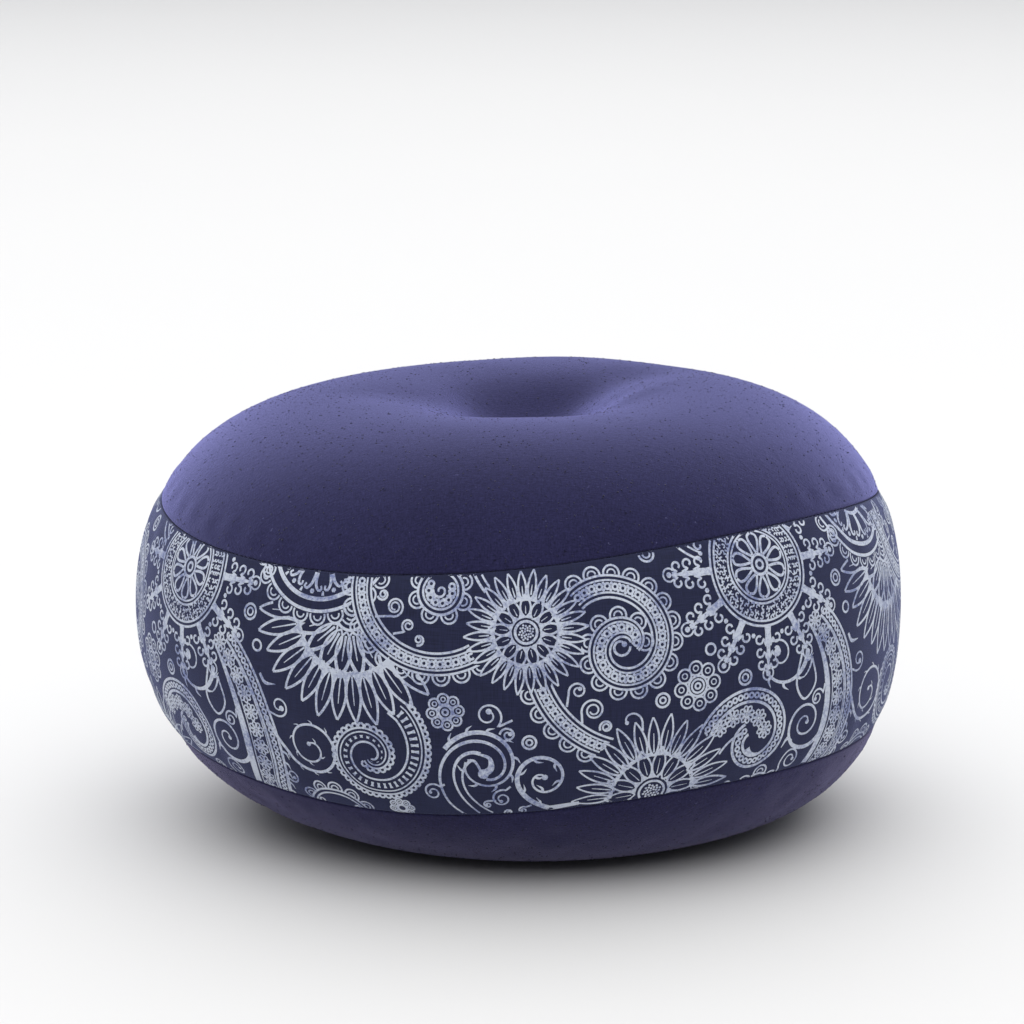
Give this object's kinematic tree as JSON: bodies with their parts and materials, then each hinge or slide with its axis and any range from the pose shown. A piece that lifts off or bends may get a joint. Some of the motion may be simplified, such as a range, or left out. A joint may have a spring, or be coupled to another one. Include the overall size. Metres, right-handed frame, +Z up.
{
  "type": "meditation cushion",
  "caption": "Round, firmly filled floor cushion with a plain crown drawn down in the middle, a band printed with paisley and flowers, and a plain base",
  "frame": {"origin": "middle of the cushion's plan at floor height", "axes": "+Z up from the floor, +X to the right and +Y to the back as the picture sees it"},
  "size_m": [0.3656, 0.3634, 0.2041],
  "materials": {
    "crown_cloth": "matt plain violet-navy cloth with a soft sheen and small neps",
    "band_cloth": "matt navy cloth printed with pale blue line work",
    "base_cloth": "matt plain violet-navy cloth with a soft sheen and small neps"
  },
  "bodies": {
    "root": {"crown_panel": "crown_cloth", "printed_band": "band_cloth", "base_panel": "base_cloth"}
  },
  "joints": []
}
